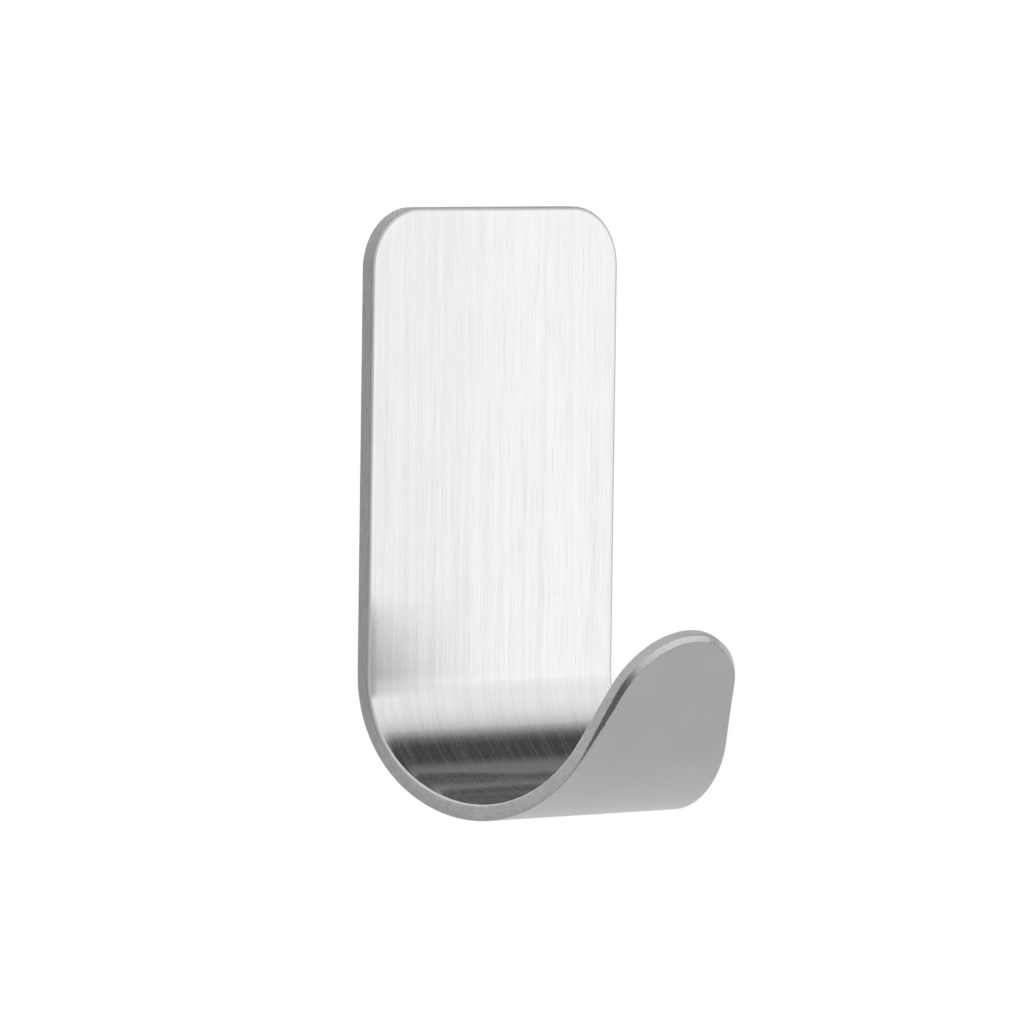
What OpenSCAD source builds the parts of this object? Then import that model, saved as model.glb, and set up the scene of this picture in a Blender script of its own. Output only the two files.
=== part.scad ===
// Adhesive wall hook: a J of brushed sheet steel on a foam pad with a pull-off liner.
// +Z is up and the wall lies behind, at +Y. The origin is the middle of the face that meets the wall.

/* [Back plate] */
// Width of the back plate
plate_w = 30; // [22:0.5:60]
// Height of the flat back plate, from its top edge to the start of the bend
plate_h = 42; // [28:0.5:90]
// Thickness of the steel sheet
sheet_t = 1.5; // [0.8:0.1:3]
// Radius of the two top corners
corner_r = 5.5; // [1:0.5:10]

/* [Hook] */
// Inside radius of the bend
bend_r = 11; // [7:0.5:20]
// Angle that the strip is bent through
bend_deg = 153; // [125:1:170]
// Straight length of the lip, from the end of the bend to its tip
lip_len = 11.4; // [8:0.1:25]
// Radius of the round tip
tip_r = 7.4; // [4:0.1:9]
// Length along the strip from the start of the bend to where its sides draw in
taper_delay = 5.8; // [0:0.1:8]
// Radius that eases the straight sides into the drawn-in ones
ease_r = 50; // [10:1:60]

/* [Edges] */
// Bevel on every edge of the sheet
edge_bevel = 0.1; // [0.05:0.05:0.35]
// Width of the ground bevel around the outer face of the tip
tip_bevel_w = 0.55; // [0.2:0.05:1.5]
// Depth of that bevel into the sheet
tip_bevel_d = 0.4; // [0.1:0.05:0.4]
// Length of each side of the lip over which the ground bevel fades to the plain one
tip_bevel_fade = 8; // [1:0.5:12]

/* [Adhesive pad] */
// Bare margin around the pad on the back of the plate
pad_margin = 2; // [1:0.25:5]
// Thickness of the foam carrier
foam_t = 0.8; // [0.4:0.1:2]
// Thickness of each coat of adhesive
coat_t = 0.1; // [0.05:0.01:0.2]

/* [Release liner] */
// Thickness of the liner film
liner_t = 0.1; // [0.05:0.01:0.2]
// How far the liner stands out past the pad all round, to be gripped
liner_grip = 0.6; // [0:0.1:1]

/* [Hidden] */

// Facets of the round pad corners
$fn = 48;
// Steps along each stretch of the strip's outline
corner_steps = 8;
plate_steps = 6;
bend_steps = 48;
lip_steps = 10;
tip_steps = 14;

// Layers behind the plate, from the wall inwards
wall_coat_y = -liner_t;
foam_y = wall_coat_y - coat_t;
plate_coat_y = foam_y - foam_t;
plate_back_y = plate_coat_y - coat_t;
pad_w = plate_w - 2 * pad_margin;
pad_h = plate_h - 2 * pad_margin;
pad_r = max(corner_r - pad_margin, pad_margin / 2);

// Lengths along the flat strip, measured from its top edge on its middle layer
mid_r = bend_r + sheet_t / 2;
bend_end = plate_h + mid_r * bend_deg * PI / 180;
strip_len = bend_end + lip_len;

// Drawn-in sides: each runs from the full width to touch the circle of the tip
half_w = plate_w / 2;
tip_centre = strip_len - tip_r;
taper_from = plate_h + taper_delay;
taper_reach = tip_centre - taper_from;
tip_distance = norm([half_w, taper_reach]);
taper_deg = atan2(half_w, taper_reach) - asin(tip_r / tip_distance);
taper_run = sqrt(tip_distance * tip_distance - tip_r * tip_r);
taper_to = tip_centre + tip_r * sin(taper_deg);

// Arc that eases each side into its taper, no longer than half the taper
ease_run = min(ease_r * tan(taper_deg / 2), taper_run / 2);
ease_arc_r = ease_run / tan(taper_deg / 2);
ease_from = taper_from - ease_run;
ease_to = taper_from + ease_run * cos(taper_deg);

// Half width of the strip at length s, between its corners and its tip
function half_width(s) =
    s < ease_from ? half_w :
    s < ease_to ? half_w - ease_arc_r + sqrt(pow(ease_arc_r, 2) - pow(s - ease_from, 2)) :
    half_w - (s - taper_from) * tan(taper_deg);

// Angle by which the side at length s faces towards the tip
function side_deg(s) =
    s < ease_from ? 0 :
    s < ease_to ? asin((s - ease_from) / ease_arc_r) :
    taper_deg;

// Even steps from a to b, without b
function steps(a, b, count) = [for (i = [0 : count - 1]) a + (b - a) * i / count];

side_lengths = [
    for (s = concat(
        steps(corner_r, plate_h, plate_steps),
        steps(plate_h, bend_end, bend_steps),
        steps(bend_end, max(taper_to, bend_end), lip_steps)
    )) if (s > corner_r && s < taper_to) s
];

// Half outline of the flat strip from its top edge to its tip: half width, length and facing angle.
// The last step round the tip is shared by both sides.
half_outline = concat(
    [for (a = concat(steps(-90, 0, corner_steps), [0]))
        [half_w - corner_r + corner_r * cos(a), corner_r + corner_r * sin(a), a]],
    [for (s = side_lengths) [half_width(s), s, side_deg(s)]],
    [for (i = [0 : tip_steps - 1])
        let (a = taper_deg + (90 - taper_deg) * i / (tip_steps - 0.5))
        [tip_r * cos(a), tip_centre + tip_r * sin(a), a]]
);
stations = len(half_outline);

// Place of a point of the bent strip: u across, s along it and depth into the sheet from its outer face
function bent(u, s, depth) =
    let (
        turn = min(max(s - plate_h, 0) / mid_r * 180 / PI, bend_deg),
        along = s < plate_h ? s - plate_h : max(s - bend_end, 0),
        r = bend_r + sheet_t - depth,
        out = bend_r + sheet_t - r * cos(turn) + along * sin(turn),
        down = plate_h + r * sin(turn) + along * cos(turn)
    )
    [u, plate_back_y - out, plate_h / 2 - down];

// Share of the tip's ground bevel at length s: all of it around the tip, fading out along the sides
function tip_share(s) =
    let (x = min(max(1 - (taper_to - s) / tip_bevel_fade, 0), 1))
    x * x * (3 - 2 * x);

function outer_bevel_w(s) = edge_bevel + (tip_bevel_w - edge_bevel) * tip_share(s);
function outer_bevel_d(s) = edge_bevel + (tip_bevel_d - edge_bevel) * tip_share(s);

// One point of a ring: side is 1 or -1, inset moves it in from the outline
function ring_point(p, side, inset, depth) =
    bent(side * (p[0] - inset * cos(p[2])), p[1] - inset * sin(p[2]), depth);

// Closed ring around the strip: down its right side and up its left
function ring(layer) = [
    for (side = [1, -1], i = [0 : stations - 1])
        let (
            p = half_outline[side > 0 ? i : stations - 1 - i],
            inset = layer == 0 ? outer_bevel_w(p[1]) : layer == 3 ? edge_bevel : 0,
            depth = layer == 0 ? 0 :
                layer == 1 ? outer_bevel_d(p[1]) :
                layer == 2 ? sheet_t - edge_bevel : sheet_t
        )
        ring_point(p, side, inset, depth)
];

// Two triangles that fill the corners a, b, c and d
function quad(a, b, c, d) = [[a, b, c], [a, c, d]];

// Bent sheet: rings at the outer face, both ends of the edge and the inner face
module hook() {
    loop = 2 * stations;
    edges = [
        for (layer = [0 : 2], i = [0 : loop - 1])
            let (a = layer * loop, j = (i + 1) % loop)
            each quad(a + i, a + j, a + loop + j, a + loop + i)
    ];
    inner = [
        for (i = [0 : stations - 2])
            let (a = 3 * loop)
            each quad(a + i, a + i + 1, a + loop - 2 - i, a + loop - 1 - i)
    ];
    outer = [
        for (i = [0 : stations - 2])
            each quad(loop - 1 - i, loop - 2 - i, i + 1, i)
    ];
    color("silver")
        polyhedron([for (layer = [0 : 3]) each ring(layer)], concat(edges, inner, outer));
}

// Flat layer with round corners whose back lies at back_y
module layer(back_y, thick, w, h, r) {
    translate([0, back_y, 0])
        rotate([90, 0, 0])
            linear_extrude(thick) {
                square([w - 2 * r, h], center = true);
                square([w, h - 2 * r], center = true);
                for (x = [-1, 1], z = [-1, 1])
                    translate([x * (w / 2 - r), z * (h / 2 - r)])
                        circle(r);
            }
}

// Coat that bonds the foam to the plate
module plate_adhesive() {
    color("gainsboro") layer(plate_coat_y, coat_t, pad_w, pad_h, pad_r);
}

// Foam carrier that takes up an uneven wall
module foam_pad() {
    color("whitesmoke") layer(foam_y, foam_t, pad_w, pad_h, pad_r);
}

// Coat that bonds the foam to the wall
module wall_adhesive() {
    color("gainsboro") layer(wall_coat_y, coat_t, pad_w, pad_h, pad_r);
}

// Film that covers the wall coat until the hook is put up
module release_liner() {
    color("firebrick")
        layer(0, liner_t, pad_w + 2 * liner_grip, pad_h + 2 * liner_grip, pad_r + liner_grip);
}

hook();
plate_adhesive();
foam_pad();
wall_adhesive();
release_liner();
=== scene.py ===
"""Looks of an adhesive wall hook: a J of brushed sheet steel on a foam pad with a pull-off liner.

Lengths are in metres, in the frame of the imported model: +Z is up and the wall lies behind, at +Y.
"""

import logging
import math
from contextlib import contextmanager
from dataclasses import dataclass
from enum import Enum
from typing import Any, Callable, Iterator, Mapping, Optional, Sequence, Union

import bmesh
import bpy
from mathutils import Euler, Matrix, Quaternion, Vector


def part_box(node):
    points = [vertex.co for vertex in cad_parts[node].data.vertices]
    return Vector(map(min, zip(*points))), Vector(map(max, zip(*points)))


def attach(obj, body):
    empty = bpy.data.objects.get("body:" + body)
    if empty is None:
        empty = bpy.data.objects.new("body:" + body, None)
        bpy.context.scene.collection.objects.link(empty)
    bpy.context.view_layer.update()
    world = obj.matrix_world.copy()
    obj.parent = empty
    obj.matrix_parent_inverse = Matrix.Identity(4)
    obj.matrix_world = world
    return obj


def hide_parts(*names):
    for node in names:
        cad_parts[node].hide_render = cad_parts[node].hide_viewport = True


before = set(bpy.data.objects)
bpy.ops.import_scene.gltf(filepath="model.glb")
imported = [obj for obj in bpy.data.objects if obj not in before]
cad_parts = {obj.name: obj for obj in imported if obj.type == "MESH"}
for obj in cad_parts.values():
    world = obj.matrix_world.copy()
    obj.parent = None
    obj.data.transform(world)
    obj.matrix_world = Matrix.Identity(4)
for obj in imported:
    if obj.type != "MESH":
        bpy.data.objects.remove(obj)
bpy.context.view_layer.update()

LOG = logging.getLogger("wall_hook")
MM = 0.001
# Attribute of the bent strip that keeps each point's place on the flat strip: across, along and deep
FLAT = "flat_place"
# Most values of a noise lie between the first two, about its middle
NOISE_LOW = 0.3
NOISE_HIGH = 0.7
NOISE_MIDDLE = 0.5
# Points of a mesh that lie closer than this are one point
MERGE_GAP = 0.0001 * MM
# Faces that meet at less than this angle are shaded as one surface
SMOOTH_ANGLE = math.radians(30)
# Edges that turn by more than this angle are bevelled
SHARP_ANGLE = math.radians(60)
# A face looks along an axis when that part of its normal is above the first, and across it below the second
FACE_ON = 0.9
EDGE_ON = 0.1
# A plane of size 1 reaches this far to each side of its middle
PLANE_HALF = 0.5

Point = Union[Sequence[float], Vector]
Grey = float


class Body(Enum):
    """Bodies that the pieces ride on."""

    HOOK = "hook"
    LINER = "liner"


class Slot(Enum):
    """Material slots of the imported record."""

    STEEL = "brushed_steel"
    ADHESIVE = "adhesive"
    FOAM = "foam"
    LINER = "liner"


class HookFinish(Enum):
    """Finishes of the steel, as they are numbered on its mesh."""

    BRUSHED = 0
    EDGE = 1
    BEVEL = 2
    ROLLED = 3


class Octaves(Enum):
    """How many finer noises are added to a noise."""

    PLAIN = 0.0
    SOFT = 1.0
    FINE = 3.0


class Pick(Enum):
    """Kinds of mesh element that are picked by their place."""

    CORNERS = "verts"
    EDGES = "edges"
    FACES = "faces"


class Hang(Enum):
    """Ways to hang a studio card, as its turns in degrees: level, upright along Y or upright along X."""

    LEVEL = (0, 0, 0)
    BESIDE = (0, 90, 0)
    AHEAD = (0, 90, -90)


class Signal:
    """A value that runs through a node tree. Its arithmetic adds Math nodes to that tree."""

    def __init__(self, graph: "Graph", socket: bpy.types.NodeSocket) -> None:
        """Wraps one output socket of the graph."""
        self.graph = graph
        self.socket = socket

    def __add__(self, other: "Value") -> "Signal":
        """Sum of two values."""
        return self.graph.maths("ADD", self, other)

    def __radd__(self, other: "Value") -> "Signal":
        """Sum of two values."""
        return self.graph.maths("ADD", other, self)

    def __sub__(self, other: "Value") -> "Signal":
        """This value less the other."""
        return self.graph.maths("SUBTRACT", self, other)

    def __rsub__(self, other: "Value") -> "Signal":
        """The other value less this one."""
        return self.graph.maths("SUBTRACT", other, self)

    def __mul__(self, other: "Value") -> "Signal":
        """Product of two values."""
        return self.graph.maths("MULTIPLY", self, other)

    def __rmul__(self, other: "Value") -> "Signal":
        """Product of two values."""
        return self.graph.maths("MULTIPLY", other, self)

    def rise(self, low: float, high: float) -> "Signal":
        """Smooth step of this value, from 0 at low to 1 at high."""
        ends = {"Value": self, "From Min": low, "From Max": high}
        return self.graph.add("ShaderNodeMapRange", "Result", {"interpolation_type": "SMOOTHSTEP"}, ends)

    def spread(self) -> "Signal":
        """Smooth step of this noise over its usual range."""
        return self.rise(NOISE_LOW, NOISE_HIGH)

    def about(self, middle: float, swing: float) -> "Signal":
        """Value that varies with this noise, by a swing about a middle."""
        return (self - NOISE_MIDDLE) * swing + middle


Value = Union[Signal, float]
Colour = Union[Signal, Grey, Sequence[float]]


def rgba(colour: Union[Grey, Sequence[float]]) -> tuple[float, ...]:
    """Red, green, blue and alpha of a grey or of a colour."""
    return (colour, colour, colour, 1.0) if isinstance(colour, (int, float)) else (*colour, 1.0)


class Graph:
    """Node tree of a material or of the world."""

    def __init__(self, tree: bpy.types.NodeTree) -> None:
        """Starts from an empty tree."""
        self.tree = tree
        self.tree.nodes.clear()

    def add(
        self,
        kind: str,
        output: Union[str, int],
        settings: Optional[Mapping[str, Any]] = None,
        sockets: Optional[Mapping[Union[str, int], Any]] = None,
    ) -> Signal:
        """Adds one node.

        Args:
            kind: Type of the node.
            output: Name or number of the output that is wanted.
            settings: Properties of the node, which are set first.
            sockets: Value or signal for each input that isn't left as it is.

        Returns:
            The wanted output.
        """
        node = self.tree.nodes.new(kind)
        for name, value in (settings or {}).items():
            if name == "stops":
                self.set_stops(node.color_ramp.elements, value)
            else:
                setattr(node, name, value)
        for name, value in (sockets or {}).items():
            socket = self.find(node.inputs, name)
            if isinstance(value, Signal):
                self.tree.links.new(value.socket, socket)
            else:
                socket.default_value = value
        return Signal(self, self.find(node.outputs, output) if node.outputs else None)

    def find(self, sockets: Sequence[bpy.types.NodeSocket], name: Union[str, int]) -> bpy.types.NodeSocket:
        """Finds one socket of a node.

        Args:
            sockets: Inputs or outputs of the node.
            name: Number of the socket, or its name among those that the node's settings leave in use.

        Returns:
            The socket.
        """
        if isinstance(name, int):
            return sockets[name]
        return next(socket for socket in sockets if socket.name == name and socket.enabled)

    def set_stops(self, elements: bpy.types.ColorRampElements, stops: Sequence[tuple[float, Grey]]) -> None:
        """Gives a ramp its greys.

        Args:
            elements: Stops of the ramp.
            stops: Place from 0 to 1 and grey of each stop.
        """
        while len(elements) < len(stops):
            elements.new(1.0)
        for element, (place, grey) in zip(elements, stops):
            element.position = place
            element.color = rgba(grey)

    def maths(self, operation: str, first: Value, second: Value) -> Signal:
        """Adds a Math node for one operation on two values."""
        return self.add("ShaderNodeMath", "Value", {"operation": operation}, {0: first, 1: second})

    def own_place(self) -> Signal:
        """Place in the piece's own coordinates."""
        return self.add("ShaderNodeTexCoord", "Object")

    def flat_place(self) -> Signal:
        """Place on the flat strip that the piece was bent from."""
        return self.add("ShaderNodeAttribute", "Vector", {"attribute_name": FLAT})

    def counted(self, place: Signal, sizes: Point) -> Signal:
        """Place that is counted in a size along each of its axes."""
        factors = {0: place, 1: tuple(1 / size for size in sizes)}
        return self.add("ShaderNodeVectorMath", "Vector", {"operation": "MULTIPLY"}, factors)

    def noise(self, place: Signal, octaves: Octaves) -> Signal:
        """Cloudy noise, from 0 to 1, with features about one unit of place across."""
        sockets = {"Vector": place, "Scale": 1.0, "Detail": octaves.value}
        return self.add("ShaderNodeTexNoise", "Fac", {}, sockets)

    def clouds(self, place: Signal, sizes: Point, octaves: Octaves = Octaves.FINE) -> Signal:
        """Cloudy noise, from 0 to 1, with features of a size along each axis."""
        return self.noise(self.counted(place, sizes), octaves)

    def cells(self, place: Signal, size: float) -> Signal:
        """Distance to the nearest cell's middle, counted in cells of the given size."""
        sockets = {"Vector": self.counted(place, (size,) * 3), "Scale": 1.0}
        return self.add("ShaderNodeTexVoronoi", "Distance", {}, sockets)

    def part(self, place: Signal, axis: str) -> Signal:
        """One axis, X, Y or Z, of a place."""
        return self.add("ShaderNodeSeparateXYZ", axis, {}, {0: place})

    def point(self, x: Value, y: Value, z: Value) -> Signal:
        """Place that is put together from its three axes."""
        return self.add("ShaderNodeCombineXYZ", "Vector", {}, {0: x, 1: y, 2: z})

    def blend(self, share: Value, first: Colour, second: Colour) -> Signal:
        """Colour between two colours.

        Args:
            share: How much of the second colour is in it.
            first: Signal, grey or red, green and blue of the first colour.
            second: Signal, grey or red, green and blue of the second colour.

        Returns:
            The mixed colour.
        """
        start, end = [
            colour if isinstance(colour, Signal) else rgba(colour) for colour in (first, second)
        ]
        sockets = {"Factor": share, "A": start, "B": end}
        return self.add("ShaderNodeMix", "Result", {"data_type": "RGBA"}, sockets)

    def relief(self, height: Signal, depth: float) -> Signal:
        """Normal of a surface whose height varies by up to depth, in metres."""
        sockets = {"Height": height, "Strength": 1.0, "Distance": depth}
        return self.add("ShaderNodeBump", "Normal", {}, sockets)

    def surface(self, sockets: Mapping[str, Any]) -> Signal:
        """Shader of a solid surface, with a value or signal for each socket."""
        return self.add("ShaderNodeBsdfPrincipled", "BSDF", {}, sockets)

    def mix(self, share: Value, first: Signal, second: Signal) -> Signal:
        """Shader between two shaders, with a share of the second."""
        return self.add("ShaderNodeMixShader", "Shader", {}, {0: share, 1: first, 2: second})


def new_material(name: str, paint: Callable[[Graph], Signal]) -> bpy.types.Material:
    """Makes a material with its nodes.

    Args:
        name: Name of the material.
        paint: Function that adds the nodes and returns their shader.

    Returns:
        The material.
    """
    material = bpy.data.materials.new(name)
    material.use_nodes = True
    graph = Graph(material.node_tree)
    graph.add("ShaderNodeOutputMaterial", 0, {}, {"Surface": paint(graph)})
    return material


class Finish:
    """What every finish shares: it makes a material from the nodes that it paints."""

    name = "finish"

    def material(self) -> bpy.types.Material:
        """Makes the material of this finish."""
        return new_material(self.name, self.paint)

    def paint(self, graph: Graph) -> Signal:
        """Adds the nodes of this finish and returns its shader."""
        raise NotImplementedError


@dataclass(frozen=True)
class BrushedSteel(Finish):
    """Steel brushed with fine lines along the strip, smoother on its right side and in the bend."""

    bend_from: float
    bend_to: float
    bend_blend: float = 7 * MM
    name: str = "brushed_face"
    dark: Grey = 0.85
    light: Grey = 0.975
    roughness: float = 0.19
    right_roughness: float = 0.13
    right_from: float = -6 * MM
    right_to: float = 3 * MM
    bend_roughness: float = 0.08
    sideways_spread: float = 1.0
    line_w: float = 0.1 * MM
    line_len: float = 7 * MM
    line_shift: float = 1.5
    line_share: float = 0.65
    line_depth: float = 0.001 * MM
    band_w: float = 0.8 * MM
    band_len: float = 45 * MM
    score_w: float = 0.1 * MM
    score_len: float = 4 * MM
    score_from: float = 0.45
    score_to: float = 0.8
    score_share: float = 0.5
    score_roughness: float = 0.3
    track_w: float = 0.4 * MM
    track_len: float = 9 * MM
    track_low: float = 0.1
    track_swing: float = 2.6

    def paint(self, graph: Graph) -> Signal:
        """Adds the nodes of the brushing.

        Args:
            graph: Tree that takes the nodes.

        Returns:
            Shader of brushed steel with rougher scores in it, which gather in tracks.
        """
        place = graph.flat_place()
        along = graph.part(place, "Y")
        lines = self.lines(graph, place, self.line_w, self.line_len, Octaves.FINE)
        bands = self.lines(graph, place, self.band_w, self.band_len, Octaves.SOFT)
        scores = self.lines(graph, place, self.score_w, self.score_len, Octaves.SOFT)
        scores = scores.rise(self.score_from, self.score_to)
        tracks = self.lines(graph, place, self.track_w, self.track_len, Octaves.SOFT).spread()
        scores = scores * (tracks * self.track_swing + self.track_low)
        share = (lines * self.line_share + bands * (1 - self.line_share)).spread()
        bent = along.rise(self.bend_from, self.bend_from + self.bend_blend)
        bent = bent - along.rise(self.bend_to - self.bend_blend, self.bend_to)
        right = graph.part(place, "X").rise(self.right_from, self.right_to)
        flat_roughness = right * (self.right_roughness - self.roughness) + self.roughness
        roughness = flat_roughness + bent * (self.bend_roughness - flat_roughness)
        shared = {
            "Base Color": graph.blend(share, self.dark, self.light),
            "Metallic": 1.0,
            "Normal": graph.relief(lines, self.line_depth),
        }
        smooth = graph.surface({**shared, "Roughness": roughness, "Anisotropic": self.sideways_spread})
        scored = graph.surface({**shared, "Roughness": self.score_roughness})
        return graph.mix(scores * self.score_share, smooth, scored)

    def lines(self, graph: Graph, place: Signal, wide: float, long: float, octaves: Octaves) -> Signal:
        """Noise drawn out along the strip, with lines that end at different places.

        Args:
            graph: Tree that takes the nodes.
            place: Place on the flat strip.
            wide: Width of one line.
            long: Length of one line.
            octaves: How many finer lines are added.

        Returns:
            Noise from 0 to 1.
        """
        across = graph.part(place, "X") * (1 / wide)
        shift = graph.noise(graph.point(across, 0.0, 0.0), Octaves.PLAIN) * self.line_shift
        along = graph.part(place, "Y") * (1 / long) + shift
        return graph.noise(graph.point(across, along, 0.0), octaves)


@dataclass(frozen=True)
class RolledSteel(Finish):
    """Outer face of the sheet, as smooth as it left the mill, with a faint grain and clouding."""

    name: str = "rolled_steel"
    dark: Grey = 0.89
    light: Grey = 0.93
    roughness: float = 0.3
    roughness_swing: float = 0.08
    grain_w: float = 0.3 * MM
    grain_len: float = 5 * MM
    grain_share: float = 0.4
    grain_depth: float = 0.0005 * MM
    cloud: float = 6 * MM

    def paint(self, graph: Graph) -> Signal:
        """Adds the nodes of the rolled face.

        Args:
            graph: Tree that takes the nodes.

        Returns:
            Shader of the rolled face.
        """
        place = graph.flat_place()
        grain = graph.clouds(place, (self.grain_w, self.grain_len, math.inf))
        clouds = graph.clouds(place, (self.cloud,) * 3)
        share = (grain * self.grain_share + clouds * (1 - self.grain_share)).spread()
        return graph.surface({
            "Base Color": graph.blend(share, self.dark, self.light),
            "Metallic": 1.0,
            "Roughness": clouds.about(self.roughness, self.roughness_swing),
            "Normal": graph.relief(grain, self.grain_depth),
        })


@dataclass(frozen=True)
class CutEdge(Finish):
    """Tumbled edge of the sheet, worn bright along the inner face, and paler over the bend and the lip with
    painted light from the floor below.
    """

    painted_light_from: float
    worn_from: float
    worn_to: float
    painted_light_blend: float = 12 * MM
    name: str = "cut_edge"
    dark: Grey = 0.36
    light: Grey = 0.45
    # Painted light: paler greys that the edge gets from the bend on, for the light it would catch from the
    # floor below
    painted_lit_dark: Grey = 0.49
    painted_lit_light: Grey = 0.6
    worn: Grey = 0.95
    bare: float = 0.4
    worn_bare: float = 0.45
    roughness: float = 0.6
    roughness_swing: float = 0.15
    grain_w: float = 0.14 * MM
    grain_len: float = 2 * MM
    grain_depth: float = 0.002 * MM

    def paint(self, graph: Graph) -> Signal:
        """Adds the nodes of the edge.

        Args:
            graph: Tree that takes the nodes.

        Returns:
            Shader of the edge.
        """
        place = graph.flat_place()
        grain = graph.clouds(place, (self.grain_w, self.grain_len, self.grain_w))
        share = grain.spread()
        plain = graph.blend(share, self.dark, self.light)
        # Painted light: the edge turns paler from the bend on, standing in for light from the floor below
        painted_lit_edge = graph.blend(share, self.painted_lit_dark, self.painted_lit_light)
        painted_light_share = graph.part(place, "Y").rise(self.painted_light_from, self.painted_light_from + self.painted_light_blend)
        worn = graph.part(place, "Z").rise(self.worn_from, self.worn_to)
        return graph.surface({
            "Base Color": graph.blend(worn, graph.blend(painted_light_share, plain, painted_lit_edge), self.worn),
            "Metallic": worn * (self.worn_bare - self.bare) + self.bare,
            "Roughness": grain.about(self.roughness, self.roughness_swing),
            "Normal": graph.relief(grain, self.grain_depth),
        })


@dataclass(frozen=True)
class GroundBevel(Finish):
    """Bevel ground around the edges of the sheet, with short marks of the wheel."""

    name: str = "ground_bevel"
    dark: Grey = 0.69
    light: Grey = 0.79
    roughness: float = 0.28
    roughness_swing: float = 0.06
    mark: float = 0.2 * MM
    mark_depth: float = 0.0008 * MM

    def paint(self, graph: Graph) -> Signal:
        """Adds the nodes of the ground bevel.

        Args:
            graph: Tree that takes the nodes.

        Returns:
            Shader of the bevel.
        """
        marks = graph.clouds(graph.flat_place(), (self.mark,) * 3)
        return graph.surface({
            "Base Color": graph.blend(marks.spread(), self.dark, self.light),
            "Metallic": 1.0,
            "Roughness": marks.about(self.roughness, self.roughness_swing),
            "Normal": graph.relief(marks, self.mark_depth),
        })


@dataclass(frozen=True)
class ClosedCellFoam(Finish):
    """Matte white foam with fine closed cells, whose hollows are darkened with painted shade."""

    name: str = "closed_cell_foam"
    wall: tuple[float, float, float] = (0.86, 0.86, 0.85)
    # Painted shade: the grey that the cells' hollows are painted
    painted_hollow_shade: tuple[float, float, float] = (0.62, 0.62, 0.61)
    cell: float = 0.11 * MM
    cell_depth: float = 0.03 * MM
    hollow_to: float = 0.15
    wall_from: float = 0.6
    patch: float = 0.55 * MM
    patch_share: float = 0.8
    roughness: float = 0.82
    roughness_swing: float = 0.16

    def paint(self, graph: Graph) -> Signal:
        """Adds the nodes of the foam.

        Args:
            graph: Tree that takes the nodes.

        Returns:
            Shader of the foam.
        """
        place = graph.own_place()
        cells = graph.cells(place, self.cell)
        patches = graph.clouds(place, (self.patch,) * 3)
        # Painted shade: darker towards the middle of each cell, where its hollow is
        painted_hollow_shade = 1 - cells.rise(self.hollow_to, self.wall_from)
        share = painted_hollow_shade * (patches * self.patch_share + (1 - self.patch_share))
        return graph.surface({
            "Base Color": graph.blend(share, self.wall, self.painted_hollow_shade),
            "Roughness": patches.about(self.roughness, self.roughness_swing),
            "Normal": graph.relief(cells, self.cell_depth),
        })


@dataclass(frozen=True)
class AdhesiveCoat(Finish):
    """Tacky, glossy coat with a faint ripple and fine trapped bubbles."""

    name: str = "adhesive_coat"
    clear: tuple[float, float, float] = (0.80, 0.80, 0.77)
    cloudy: tuple[float, float, float] = (0.90, 0.90, 0.88)
    roughness: float = 0.22
    roughness_swing: float = 0.2
    ripple: float = 1.6 * MM
    ripple_share: float = 0.7
    bubble: float = 0.5 * MM
    bubble_core: float = 0.1
    bubble_rim: float = 0.3
    bubble_lift: float = 0.2
    depth: float = 0.02 * MM

    def paint(self, graph: Graph) -> Signal:
        """Adds the nodes of the coat.

        Args:
            graph: Tree that takes the nodes.

        Returns:
            Shader of the coat.
        """
        place = graph.own_place()
        ripple = graph.clouds(place, (self.ripple,) * 3)
        bubbles = 1 - graph.cells(place, self.bubble).rise(self.bubble_core, self.bubble_rim)
        share = ripple.spread() * self.ripple_share + bubbles * (1 - self.ripple_share)
        return graph.surface({
            "Base Color": graph.blend(share, self.clear, self.cloudy),
            "Roughness": ripple.about(self.roughness, self.roughness_swing),
            "Normal": graph.relief(ripple + bubbles * self.bubble_lift, self.depth),
        })


@dataclass(frozen=True)
class LinerFilm(Finish):
    """Red siliconised film with a faint ripple and a few creases."""

    name: str = "liner_film"
    deep: tuple[float, float, float] = (0.44, 0.03, 0.028)
    bright: tuple[float, float, float] = (0.53, 0.048, 0.042)
    roughness: float = 0.18
    roughness_swing: float = 0.12
    ripple: float = 7 * MM
    ripple_share: float = 0.8
    creases: tuple[float, float, float] = (22.5 * MM, 9 * MM, 4.09 * MM)
    crease_edge: float = 0.0006
    crease_lift: float = 0.15
    depth: float = 0.02 * MM

    def paint(self, graph: Graph) -> Signal:
        """Adds the nodes of the film, whose creases run where a noise passes its middle.

        Args:
            graph: Tree that takes the nodes.

        Returns:
            Shader of the film.
        """
        place = graph.own_place()
        ripple = graph.clouds(place, (self.ripple,) * 3, Octaves.SOFT)
        height = graph.clouds(place, self.creases, Octaves.SOFT) - NOISE_MIDDLE
        creases = 1 - (height * height).rise(0.0, self.crease_edge)
        share = ripple.spread() * self.ripple_share + creases * (1 - self.ripple_share)
        return graph.surface({
            "Base Color": graph.blend(share, self.deep, self.bright),
            "Roughness": ripple.about(self.roughness, self.roughness_swing),
            "Normal": graph.relief(ripple + creases * self.crease_lift, self.depth),
        })


def make_active(piece: bpy.types.Object) -> None:
    """Makes a piece the only one that operators act on.

    Args:
        piece: The piece.
    """
    bpy.ops.object.select_all(action="DESELECT")
    piece.select_set(True)
    bpy.context.view_layer.objects.active = piece


@contextmanager
def editing(piece: bpy.types.Object) -> Iterator[None]:
    """Opens a piece in edit mode with nothing picked, and closes it again.

    Args:
        piece: The piece.

    Returns:
        A context in which the piece is open.
    """
    make_active(piece)
    bpy.ops.object.mode_set(mode="EDIT")
    bpy.ops.mesh.select_all(action="DESELECT")
    try:
        yield
    finally:
        bpy.ops.object.mode_set(mode="OBJECT")


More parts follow.
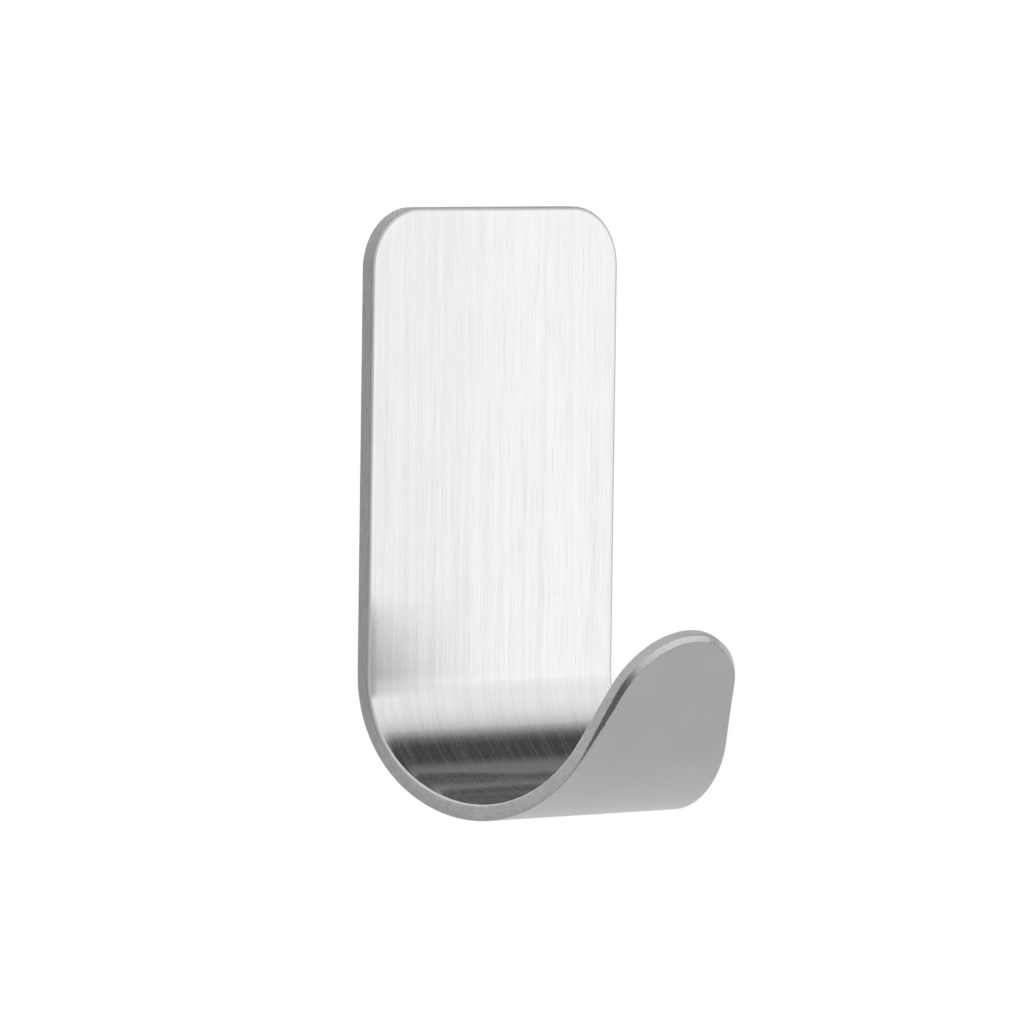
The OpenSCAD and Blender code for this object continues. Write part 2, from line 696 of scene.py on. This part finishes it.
def pick(piece: bpy.types.Object, kind: Pick, wanted: Callable[[Any], bool]) -> None:
    """Selects the elements of a piece in edit mode for which wanted says yes.

    Args:
        piece: Piece that is open in edit mode.
        kind: Kind of element.
        wanted: Test of one element.
    """
    modes = {Pick.CORNERS: "VERT", Pick.EDGES: "EDGE", Pick.FACES: "FACE"}
    bpy.ops.mesh.select_mode(type=modes[kind])
    bpy.ops.mesh.select_all(action="DESELECT")
    mesh = bmesh.from_edit_mesh(piece.data)
    for element in getattr(mesh, kind.value):
        if wanted(element):
            element.select_set(True)
    mesh.select_flush_mode()
    bmesh.update_edit_mesh(piece.data)


def pick_sharp_edges() -> None:
    """Selects the sharp edges of the piece that is open in edit mode."""
    bpy.ops.mesh.select_mode(type="EDGE")
    bpy.ops.mesh.edges_select_sharp(sharpness=SHARP_ANGLE)


def apply_modifier(piece: bpy.types.Object, kind: str, **settings: Any) -> None:
    """Adds a modifier to a piece and applies it.

    Args:
        piece: Piece that gets the modifier.
        kind: Type of the modifier.
        **settings: Properties of the modifier.
    """
    make_active(piece)
    modifier = piece.modifiers.new(kind.title(), kind)
    for name, value in settings.items():
        setattr(modifier, name, value)
    bpy.ops.object.modifier_apply(modifier=modifier.name)


def add_plane(
    name: str, place: Point, turn: Sequence[float] = (0, 0, 0), size: float = 1
) -> bpy.types.Object:
    """Adds a square plane.

    Args:
        name: Name of the new piece.
        place: Middle of the plane.
        turn: Its turns about X, Y and Z.
        size: Length of its sides.

    Returns:
        The piece, which is the only one selected.
    """
    bpy.ops.object.select_all(action="DESELECT")
    bpy.ops.mesh.primitive_plane_add(size=size, location=tuple(place), rotation=tuple(turn))
    piece = bpy.context.object
    piece.name = name
    piece.data.name = name
    return piece


def upright_plane(name: str, width: float, height: float, place: Point) -> bpy.types.Object:
    """Adds a plane that stands along the wall.

    Args:
        name: Name of the new piece.
        width: Width along X.
        height: Height along Z.
        place: Middle of the plane.

    Returns:
        The piece, at the origin, with its place in its mesh.
    """
    piece = add_plane(name, place, (math.radians(90), 0, 0))
    piece.scale = (width, height, 1)
    bpy.ops.object.transform_apply(location=True, rotation=True, scale=True)
    return piece


def close_mesh(piece: bpy.types.Object) -> None:
    """Merges doubled points and turns all faces outwards.

    Args:
        piece: The piece.
    """
    with editing(piece):
        bpy.ops.mesh.select_all(action="SELECT")
        bpy.ops.mesh.remove_doubles(threshold=MERGE_GAP)
        bpy.ops.mesh.normals_make_consistent(inside=False)


@dataclass
class SteelHook:
    """Strip of sheet steel that is cut flat, ground round its edges and bent into a J."""

    sheet_t: float = 1.5 * MM
    corner_r: float = 5.5 * MM
    bend_r: float = 11 * MM
    bend_deg: float = 153
    lip_len: float = 11.4 * MM
    tip_r: float = 7.4 * MM
    taper_delay: float = 5.8 * MM
    ease_r: float = 50 * MM
    edge_bevel: float = 0.1 * MM
    edge_round: float = 0.28 * MM
    edge_round_steps: int = 5
    worn_share: float = 0.7
    tip_bevel_w: float = 0.55 * MM
    tip_bevel_d: float = 0.4 * MM
    tip_bevel_fade: float = 8 * MM
    tip_bevel_steps: int = 1
    bevel_round: float = 0.05 * MM
    bevel_round_from_deg: float = 25
    bevel_round_steps: int = 2
    roll_w: float = 1.2 * MM
    roll_d: float = 0.06 * MM
    roll_steps: int = 3
    corner_steps: int = 16
    ease_steps: int = 8
    tip_steps: int = 24
    bend_steps: int = 96
    lip_steps: int = 14
    seam_gap: float = 0.001 * MM
    normal_weight: int = 100

    def __post_init__(self) -> None:
        """Works out the flat strip from the frame's box and the driving sizes."""
        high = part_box("hook")[1]
        self.half_w = high.x
        self.plate_h = 2 * high.z
        self.back_y = high.y
        self.bend_len = (self.bend_r + self.sheet_t / 2) * math.radians(self.bend_deg)
        self.strip_len = self.plate_h + self.bend_len + self.lip_len
        self.tip_middle = self.strip_len - self.tip_r
        taper_from = self.plate_h + self.taper_delay
        reach = self.tip_middle - taper_from
        distance = math.hypot(self.half_w, reach)
        self.taper = math.atan2(self.half_w, reach) - math.asin(self.tip_r / distance)
        ease_run = self.ease_r * math.tan(self.taper / 2)
        self.ease_from = taper_from - ease_run
        self.taper_to = self.tip_middle + self.tip_r * math.sin(self.taper)

    def flat(self, across: float, along: float) -> Vector:
        """Place of a point of the flat strip, whose bend starts at z = 0."""
        return Vector((across, 0, self.plate_h - along))

    def build(self) -> bpy.types.Object:
        """Makes the whole strip.

        Returns:
            The bent strip, in its place in the frame.
        """
        piece = self.cut_outline()
        self.cut_rows(piece)
        worn_from = self.sheet_t - self.edge_round * self.worn_share
        finishes = {
            HookFinish.BRUSHED: BrushedSteel(self.plate_h, self.plate_h + self.bend_len),
            # The edge's painted light from the floor starts where the bend starts
            HookFinish.EDGE: CutEdge(self.plate_h, worn_from, self.sheet_t),
            HookFinish.BEVEL: GroundBevel(),
            HookFinish.ROLLED: RolledSteel(),
        }
        for number in HookFinish:
            piece.data.materials.append(finishes[number].material())
        self.grind_edges(piece)
        self.keep_flat_places(piece)
        self.bend(piece)
        self.settle(piece)
        return piece

    def cut_outline(self) -> bpy.types.Object:
        """Draws the right half of the outline from the tip upwards, mirrors it and fills it.

        Returns:
            A flat sheet with rings of faces along its outline.
        """
        piece = upright_plane("steel_hook", self.tip_r, self.tip_r, self.flat(0, self.strip_len))
        with editing(piece):
            bpy.ops.mesh.select_all(action="SELECT")
            bpy.ops.mesh.merge(type="CENTER")
            self.turn(self.tip_steps, math.pi / 2 - self.taper, self.flat(0, self.tip_middle))
            tip_end = self.arc_point(self.flat(0, self.tip_middle), self.tip_r, self.taper)
            ease_middle = self.flat(self.half_w - self.ease_r, self.ease_from)
            self.draw(self.arc_point(ease_middle, self.ease_r, self.taper) - tip_end)
            self.turn(self.ease_steps, self.taper, ease_middle)
            self.draw(self.flat(0, self.corner_r) - self.flat(0, self.ease_from))
            self.turn(self.corner_steps, math.pi / 2, self.flat(self.half_w - self.corner_r, self.corner_r))
            self.draw(Vector((self.corner_r - self.half_w, 0, 0)))
        apply_modifier(piece, "MIRROR", use_clip=True, merge_threshold=self.seam_gap)
        with editing(piece):
            bpy.ops.mesh.select_all(action="SELECT")
            bpy.ops.mesh.edge_face_add()
            for _ in range(self.roll_steps):
                bpy.ops.mesh.inset(thickness=self.roll_w / self.roll_steps, use_even_offset=True)
        return piece

    def arc_point(self, middle: Vector, radius: float, facing: float) -> Vector:
        """Point of an arc that faces out by an angle towards the tip."""
        return middle + Vector((radius * math.cos(facing), 0, -radius * math.sin(facing)))

    def turn(self, steps: int, angle: float, middle: Vector) -> None:
        """Carries the outline's end round an arc."""
        bpy.ops.mesh.spin(steps=steps, angle=angle, center=middle, axis=(0, 1, 0))

    def draw(self, run: Vector) -> None:
        """Carries the outline's end along a straight line."""
        bpy.ops.mesh.extrude_region_move(TRANSFORM_OT_translate={"value": run})

    def cut_rows(self, piece: bpy.types.Object) -> None:
        """Cuts the flat strip across at every step of the bend and of the lip's straight sides.

        Args:
            piece: The flat sheet.
        """
        lip_run = self.taper_to - self.plate_h - self.bend_len
        rows = [self.bend_len * step / self.bend_steps for step in range(self.bend_steps)]
        rows += [self.bend_len + lip_run * step / self.lip_steps for step in range(self.lip_steps)]
        with editing(piece):
            for row in rows:
                bpy.ops.mesh.select_all(action="SELECT")
                bpy.ops.mesh.bisect(plane_co=(0, 0, -row), plane_no=(0, 0, 1))

    def tip_share(self, along: float) -> float:
        """Share of the tip's ground bevel at a length along the strip, which fades out up its sides."""
        share = min(max(1 - (self.taper_to - along) / self.tip_bevel_fade, 0), 1)
        return share * share * (3 - 2 * share)

    def grind_edges(self, piece: bpy.types.Object) -> None:
        """Gives the sheet its thickness and bevels its edges, more around the outer face of the tip.

        The bevels are cut on a thicker sheet, which is then pressed flat, so they come out wider than deep.

        Args:
            piece: The flat sheet.
        """
        flatness = self.tip_bevel_d / self.tip_bevel_w
        apply_modifier(
            piece, "SOLIDIFY", thickness=self.sheet_t / flatness, offset=0, use_rim=True,
            material_offset_rim=HookFinish.EDGE.value,
        )
        close_mesh(piece)
        with editing(piece):
            pick(piece, Pick.FACES, lambda face: face.normal.y > FACE_ON)
            piece.active_material_index = HookFinish.ROLLED.value
            bpy.ops.object.material_slot_assign()
            self.roll_edge(piece, self.roll_d / flatness)
        self.cut_bevel(piece, self.inner_width, self.edge_round, self.edge_round_steps, HookFinish.EDGE)
        self.cut_bevel(piece, self.outer_width, self.tip_bevel_w, self.tip_bevel_steps, HookFinish.BEVEL)
        with editing(piece):
            bpy.ops.mesh.select_all(action="SELECT")
            bpy.ops.transform.resize(value=(1, flatness, 1), center_override=(0, 0, 0))
        apply_modifier(
            piece, "BEVEL", width=self.bevel_round, segments=self.bevel_round_steps,
            limit_method="ANGLE", angle_limit=math.radians(self.bevel_round_from_deg),
            offset_type="OFFSET", use_clamp_overlap=False,
        )

    def roll_edge(self, piece: bpy.types.Object, depth: float) -> None:
        """Draws the inner face's outline in, as the cutting does, fading out over the rings.

        Args:
            piece: The sheet, open in edit mode.
            depth: How far its outline is drawn in.
        """
        pick(piece, Pick.CORNERS, self.on_inner_outline)
        bpy.ops.transform.translate(
            value=(0, depth, 0), use_proportional_edit=True, use_proportional_connected=True,
            proportional_edit_falloff="SHARP", proportional_size=self.roll_w,
        )

    def on_inner_outline(self, corner: bmesh.types.BMVert) -> bool:
        """Says whether a corner of the flat sheet is where its inner face meets its edge."""
        return corner.co.y < 0 and any(abs(face.normal.y) < EDGE_ON for face in corner.link_faces)

    def inner_width(self, place: Vector) -> float:
        """Width of the rounding at a point of the sheet's edge, which is only on the inner face."""
        return self.edge_round if place.y < 0 else 0

    def outer_width(self, place: Vector) -> float:
        """Width of the bevel at a point of the sheet's edge, which is only on the outer face."""
        share = self.tip_share(self.plate_h - place.z)
        return self.edge_bevel + (self.tip_bevel_w - self.edge_bevel) * share if place.y > 0 else 0

    def cut_bevel(
        self,
        piece: bpy.types.Object,
        width_at: Callable[[Vector], float],
        widest: float,
        steps: int,
        finish: HookFinish,
    ) -> None:
        """Bevels the sharp edges of the sheet.

        Args:
            piece: The flat sheet.
            width_at: Width of the bevel at a place.
            widest: The widest that it gets.
            steps: How many facets it has.
            finish: Finish that it gets.
        """
        with editing(piece):
            pick_sharp_edges()
        mesh = piece.data
        name = "bevel_weight_edge"
        weights = mesh.attributes.get(name) or mesh.attributes.new(name, "FLOAT", "EDGE")
        for edge in mesh.edges:
            middle = (mesh.vertices[edge.vertices[0]].co + mesh.vertices[edge.vertices[1]].co) / 2
            weights.data[edge.index].value = width_at(middle) / widest if edge.select else 0
        apply_modifier(
            piece, "BEVEL", width=widest, segments=steps, limit_method="WEIGHT",
            offset_type="OFFSET", use_clamp_overlap=False, material=finish.value,
        )

    def keep_flat_places(self, piece: bpy.types.Object) -> None:
        """Stores each point's place on the flat strip, which the brushing follows round the bend.

        Args:
            piece: The flat sheet with its bevels.
        """
        places = piece.data.attributes.new(FLAT, "FLOAT_VECTOR", "POINT")
        for vertex, place in zip(piece.data.vertices, places.data):
            place.vector = (vertex.co.x, self.plate_h - vertex.co.z, self.sheet_t / 2 - vertex.co.y)

    def bend(self, piece: bpy.types.Object) -> None:
        """Bends the strip into a J between the plate and the lip.

        Args:
            piece: The flat sheet with its bevels.
        """
        start = self.lip_len / self.strip_len
        apply_modifier(
            piece, "SIMPLE_DEFORM", deform_method="BEND", deform_axis="X",
            angle=-math.radians(self.bend_deg), limits=(start, start + self.bend_len / self.strip_len),
        )

    def settle(self, piece: bpy.types.Object) -> None:
        """Puts the bent strip in its place and sets how its faces are shaded.

        Args:
            piece: The bent strip.
        """
        make_active(piece)
        piece.location = (0, self.back_y - self.sheet_t / 2, -self.plate_h / 2)
        bpy.ops.object.transform_apply(location=True, rotation=True, scale=True)
        bpy.ops.object.shade_smooth_by_angle(angle=SMOOTH_ANGLE)
        apply_modifier(piece, "WEIGHTED_NORMAL", keep_sharp=True, weight=self.normal_weight)
        # The brushing spreads light along the texture space's X, the same way all round the bend
        piece.data.use_auto_texspace = False
        piece.data.texspace_location = (0, 1, 0)
        piece.data.texspace_size = (1, 1, 1)

    def dress(self, piece: bpy.types.Object) -> None:
        """Fits the piece to the frame.

        Args:
            piece: The bent strip.
        """
        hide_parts("hook")
        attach(piece, Body.HOOK.value)


@dataclass
class PadLayer:
    """One flat layer of the mounting pad, with round corners, that fills the box of its node."""

    name: str
    node: str
    corner_r: float
    finish: Finish
    slot: Slot
    body: Body = Body.HOOK
    fill: Optional[float] = None
    edge_bevel: float = 0.02 * MM
    edge_bevel_steps: int = 2
    rim_rings: int = 0
    rim_margin: float = 1.5
    waist: float = 0.02 * MM
    pit: float = 1.2 * MM
    pit_depth: float = 0.06 * MM
    corner_steps: int = 12
    side_cuts: int = 90

    def build(self) -> bpy.types.Object:
        """Makes the layer from a plane with rounded corners.

        Returns:
            The layer, in its place in the frame.
        """
        low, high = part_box(self.node)
        size = high - low
        middle = (low + high) / 2
        piece = upright_plane(self.name, size.x, size.z, (middle.x, high.y, middle.z))
        with editing(piece):
            bpy.ops.mesh.select_all(action="SELECT")
            bpy.ops.mesh.bevel(
                offset=self.corner_r, segments=self.corner_steps, affect="VERTICES", offset_type="OFFSET"
            )
            pick(piece, Pick.EDGES, lambda edge: edge.calc_length() > self.corner_r)
            bpy.ops.mesh.subdivide(number_cuts=self.side_cuts)
            bpy.ops.mesh.select_all(action="SELECT")
            bpy.ops.mesh.extrude_region_move(TRANSFORM_OT_translate={"value": (0, -size.y, 0)})
        close_mesh(piece)
        with editing(piece):
            pick_sharp_edges()
            bpy.ops.mesh.bevel(offset=self.edge_bevel, segments=self.edge_bevel_steps, affect="EDGES")
        if self.rim_rings:
            self.roughen_rim(piece, low.y, high.y)
        close_mesh(piece)
        make_active(piece)
        bpy.ops.object.shade_smooth_by_angle(angle=SMOOTH_ANGLE)
        return piece

    def roughen_rim(self, piece: bpy.types.Object, front: float, back: float) -> None:
        """Draws the middle of the rim in and pits it, so nothing comes outside the layer's box.

        Args:
            piece: The layer.
            front: Least y of the layer.
            back: Greatest y of the layer.
        """
        thick = back - front
        margin = self.edge_bevel * self.rim_margin
        with editing(piece):
            pick(piece, Pick.EDGES, lambda edge: abs(edge.verts[0].co.y - edge.verts[1].co.y) > thick / 2)
            bpy.ops.mesh.subdivide(number_cuts=self.rim_rings)
            pick(piece, Pick.CORNERS, lambda corner: front + margin < corner.co.y < back - margin)
            bpy.ops.transform.shrink_fatten(value=-self.waist)
            bpy.ops.object.vertex_group_add()
            bpy.ops.object.vertex_group_assign()
        pits = bpy.data.textures.new(f"{self.name}_pits", "CLOUDS")
        pits.noise_scale = self.pit
        apply_modifier(
            piece, "DISPLACE", texture=pits, texture_coords="LOCAL", strength=self.pit_depth, mid_level=1,
            vertex_group=piece.vertex_groups[0].name,
        )

    def dress(self, piece: bpy.types.Object) -> None:
        """Gives the layer its finish and fits it to the frame.

        Args:
            piece: The layer.
        """
        piece.data.materials.append(self.finish.material())
        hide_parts(self.node)
        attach(piece, self.body.value)


@dataclass
class MountingPad:
    """Foam pad behind the plate, with a coat of adhesive on both faces and a liner over the wall's side."""

    corner_r: float = 3.5 * MM
    coat_rings: int = 1
    foam_fill: float = 0.9
    foam_bevel: float = 0.05 * MM
    foam_rings: int = 5
    foam_waist: float = 0.05 * MM
    foam_pit: float = 0.25 * MM
    foam_pit_depth: float = 0.1 * MM
    liner_corner_r: float = 4.1 * MM

    def layers(self) -> tuple[PadLayer, ...]:
        """Lists the layers from the plate to the wall.

        Returns:
            The layers, each of which is still to be built and dressed.
        """
        return (
            self.coat("plate_coat", "plate_adhesive"),
            PadLayer(
                "foam_carrier", "foam_pad", self.corner_r, ClosedCellFoam(), Slot.FOAM, fill=self.foam_fill,
                edge_bevel=self.foam_bevel, rim_rings=self.foam_rings, waist=self.foam_waist,
                pit=self.foam_pit, pit_depth=self.foam_pit_depth,
            ),
            self.coat("wall_coat", "wall_adhesive"),
            PadLayer(
                "liner_film", "release_liner", self.liner_corner_r, LinerFilm(), Slot.LINER, Body.LINER
            ),
        )

    def coat(self, name: str, node: str) -> PadLayer:
        """One coat of adhesive, with a rim that is drawn in a little."""
        return PadLayer(name, node, self.corner_r, AdhesiveCoat(), Slot.ADHESIVE, rim_rings=self.coat_rings)


@dataclass
class PhotoCamera:
    """Camera at the photograph's viewing angle."""

    azimuth_deg: float = -42.33
    elevation_deg: float = 3.04
    roll_deg: float = 0.78
    distance: float = 872.84 * MM
    aim: tuple[float, float, float] = (-4.851 * MM, -10.378 * MM, -6.193 * MM)
    lens_mm: float = 341.38
    sensor_mm: float = 36
    sight: float = 20

    def build(self) -> None:
        """Makes the camera and hands it to the scene."""
        azimuth = math.radians(self.azimuth_deg)
        rise = math.radians(self.elevation_deg)
        back = Vector((
            math.sin(azimuth) * math.cos(rise), -math.cos(azimuth) * math.cos(rise), math.sin(rise)
        ))
        data = bpy.data.cameras.new("camera")
        data.lens = self.lens_mm
        data.sensor_width = self.sensor_mm
        data.clip_end = self.sight
        camera = bpy.data.objects.new("camera", data)
        bpy.context.scene.collection.objects.link(camera)
        camera.location = Vector(self.aim) + back * self.distance
        camera.rotation_mode = "QUATERNION"
        level = (-back).to_track_quat("-Z", "Y")
        camera.rotation_quaternion = level @ Quaternion((0, 0, 1), math.radians(self.roll_deg))
        bpy.context.scene.camera = camera


@dataclass(frozen=True)
class Card:
    """Card around the object that only the metal sees, with greys at places along its length."""

    name: str
    middle: tuple[float, float, float]
    width: float
    greys: tuple[tuple[float, Grey], ...]
    hang: Hang = Hang.LEVEL

    def ends(self) -> tuple[float, float]:
        """Places of the card's two ends along its length."""
        return self.greys[0][0], self.greys[-1][0]

    def build(self) -> None:
        """Hangs the card."""
        start, end = self.ends()
        turn = Euler([math.radians(angle) for angle in self.hang.value])
        shift = turn.to_matrix() @ Vector((0, (start + end) / 2, 0))
        card = add_plane(self.name, Vector(self.middle) + shift, turn)
        card.scale = (self.width, end - start, 1)
        card.data.materials.append(new_material(self.name, self.paint))
        card.visible_camera = False
        card.visible_diffuse = False
        card.visible_shadow = False

    def paint(self, graph: Graph) -> Signal:
        """Adds the nodes of the card's greys.

        Args:
            graph: Tree that takes the nodes.

        Returns:
            Shader that glows with the greys.
        """
        start, end = self.ends()
        along = graph.part(graph.own_place(), "Y") + PLANE_HALF
        stops = [((place - start) / (end - start), grey) for place, grey in self.greys]
        shade = graph.add("ShaderNodeValToRGB", "Color", {"stops": stops}, {0: along})
        return graph.add("ShaderNodeEmission", "Emission", {}, {"Color": shade, "Strength": 1.0})


@dataclass(frozen=True)
class Lamp:
    """Soft square lamp that lights matte surfaces and isn't mirrored in the metal."""

    name: str
    place: tuple[float, float, float]
    target: tuple[float, float, float]
    size: float
    watts: float

    def build(self) -> None:
        """Hangs the lamp and points it at its target."""
        data = bpy.data.lights.new(self.name, "AREA")
        data.size = self.size
        data.energy = self.watts
        lamp = bpy.data.objects.new(self.name, data)
        bpy.context.scene.collection.objects.link(lamp)
        lamp.location = self.place
        lamp.rotation_mode = "QUATERNION"
        lamp.rotation_quaternion = (Vector(self.target) - Vector(self.place)).to_track_quat("-Z", "Y")
        lamp.visible_glossy = False


@dataclass
class Studio:
    """Plain white studio with a pale floor, soft lamps and grey cards for the metal to mirror."""

    floor_z: float = -0.2
    floor_size: float = 1.7
    floor_grey: Grey = 0.33
    floor_lift: float = 0.62
    fill: Grey = 0.5
    white: Grey = 1.0
    cards: tuple[Card, ...] = (
        Card("ceiling", (12.15, 0, 0.8), 23.7, (
            (-10, 0.96), (-4.5, 0.88), (-2.8, 0.85), (-1.9, 0.84), (-1.3, 0.81),
            (-0.97, 0.72), (-0.78, 0.6), (-0.5, 0.13), (-0.37, 0.055), (-0.1, 0.055),
            (0.04, 0.17), (0.2, 0.18), (0.3, 0.05), (0.5, 0.24), (1.3, 0.24),
        )),
        Card("left_ceiling", (-1.35, 0, 0.8), 3.3, ((-3, 0.85), (-0.1, 0.75), (0.2, 0.2), (1.3, 0.15))),
        Card("front_card", (0, -1.5, 0.1), 0.8, (
            (-1.6, 0.52), (-0.3, 0.72), (0.5, 0.9), (0.95, 1.0),
        ), Hang.AHEAD),
        Card("low_left", (-0.5, 0, -0.14), 0.12, ((-0.2, 0.95), (0.8, 0.95)), Hang.BESIDE),
        Card("right_card", (1.0, 0, 0.0), 0.4, (
            (-0.8, 0.95), (-0.5, 0.7), (0.0, 0.62), (1.2, 0.56),
        ), Hang.BESIDE),
        Card("upper_card", (1.0, 0, 0.5), 0.6, ((-0.4, 0.03), (1.3, 0.03)), Hang.BESIDE),
        Card("left_card", (-1.0, 0, 0.15), 0.7, ((-1.5, 0.55), (-0.5, 0.48), (1.2, 0.42)), Hang.BESIDE),
        Card("low_card", (-0.4, 0, -0.09), 0.75, ((-0.95, 0.06), (-0.1, 0.06))),
    )
    lamps: tuple[Lamp, ...] = (
        Lamp("key_lamp", (-0.35, 0.25, 0.72), (0, 0, 0), 0.8, 4),
        Lamp("side_lamp", (0.7, 0.1, 0.3), (0, 0, 0), 0.5, 2),
        Lamp("floor_lamp", (0.35, 0.7, 0.6), (0.35, 0.7, 0), 0.5, 9),
    )

    def build(self) -> None:
        """Makes the world, the floor, the cards and the lamps."""
        scene = bpy.context.scene
        scene.view_settings.view_transform = "Standard"
        self.light_world(scene)
        self.lay_floor()
        for fitting in (*self.cards, *self.lamps):
            fitting.build()

    def light_world(self, scene: bpy.types.Scene) -> None:
        """Sets a world that is white to the eye and in the metal, and a plain fill elsewhere.

        Args:
            scene: Scene that gets the world.
        """
        world = bpy.data.worlds.new("studio")
        world.use_nodes = True
        world.cycles.sampling_method = "NONE"
        scene.world = world
        graph = Graph(world.node_tree)
        seen = graph.add("ShaderNodeLightPath", "Is Camera Ray")
        path = seen.socket.node
        for name in ("Is Glossy Ray", "Is Transmission Ray"):
            seen = graph.maths("MAXIMUM", seen, Signal(graph, path.outputs[name]))
        fill, white = [
            graph.add("ShaderNodeBackground", "Background", {}, {"Color": rgba(grey)})
            for grey in (self.fill, self.white)
        ]
        graph.add("ShaderNodeOutputWorld", 0, {}, {"Surface": graph.mix(seen, fill, white)})

    def lay_floor(self) -> None:
        """Lays the floor under the object."""
        floor = add_plane("floor", (0, 0, self.floor_z), size=self.floor_size)
        floor.data.materials.append(new_material("floor", self.paint_floor))

    def paint_floor(self, graph: Graph) -> Signal:
        """Adds the nodes of the floor.

        Args:
            graph: Tree that takes the nodes.

        Returns:
            Shader that looks white from above, keeps the shadow and isn't seen from below.
        """
        matte = graph.add("ShaderNodeBsdfDiffuse", "BSDF", {}, {"Color": rgba(self.floor_grey)})
        seen = graph.add("ShaderNodeLightPath", "Is Camera Ray")
        white = graph.add("ShaderNodeEmission", "Emission", {}, {"Strength": seen * self.floor_lift})
        lifted = graph.add("ShaderNodeAddShader", "Shader", {}, {0: matte, 1: white})
        clear = graph.add("ShaderNodeBsdfTransparent", "BSDF")
        below = graph.add("ShaderNodeNewGeometry", "Backfacing")
        return graph.mix(below, lifted, clear)


def main() -> None:
    """Builds the camera, the studio and every piece, in order, and reports each piece."""
    logging.basicConfig(level=logging.INFO, format="%(name)s: %(message)s")
    PhotoCamera().build()
    Studio().build()
    for part in (SteelHook(), *MountingPad().layers()):
        piece = part.build()
        part.dress(piece)
        LOG.info("%s has %d faces", piece.name, len(piece.data.polygons))


if __name__ == "__main__":
    main()
